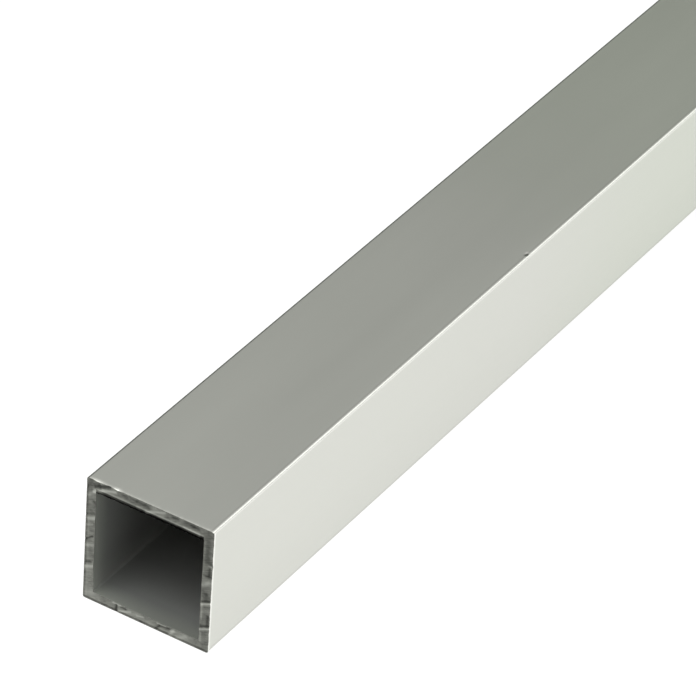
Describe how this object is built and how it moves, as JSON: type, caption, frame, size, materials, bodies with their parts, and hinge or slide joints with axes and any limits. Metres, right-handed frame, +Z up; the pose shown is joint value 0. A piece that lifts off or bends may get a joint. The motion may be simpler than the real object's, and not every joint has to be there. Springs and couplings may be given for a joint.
{
  "type": "square metal tube",
  "caption": "Straight length of thin-walled square aluminium tube, hollow right through, with small rounded arrises and saw-cut ends.",
  "frame": {"origin": "centre of the tube's footprint on the floor: the middle of its length and width, at its underside", "axes": "+X along the tube, +Y across its width, +Z up; the end at -X is called the front end"},
  "size_m": [1, 0.02, 0.02],
  "materials": {
    "aluminium": "satin anodised extrusion in natural silver, bare sawn metal on the two cut ends"
  },
  "bodies": {
    "root": {"square_tube": "aluminium"}
  },
  "joints": []
}
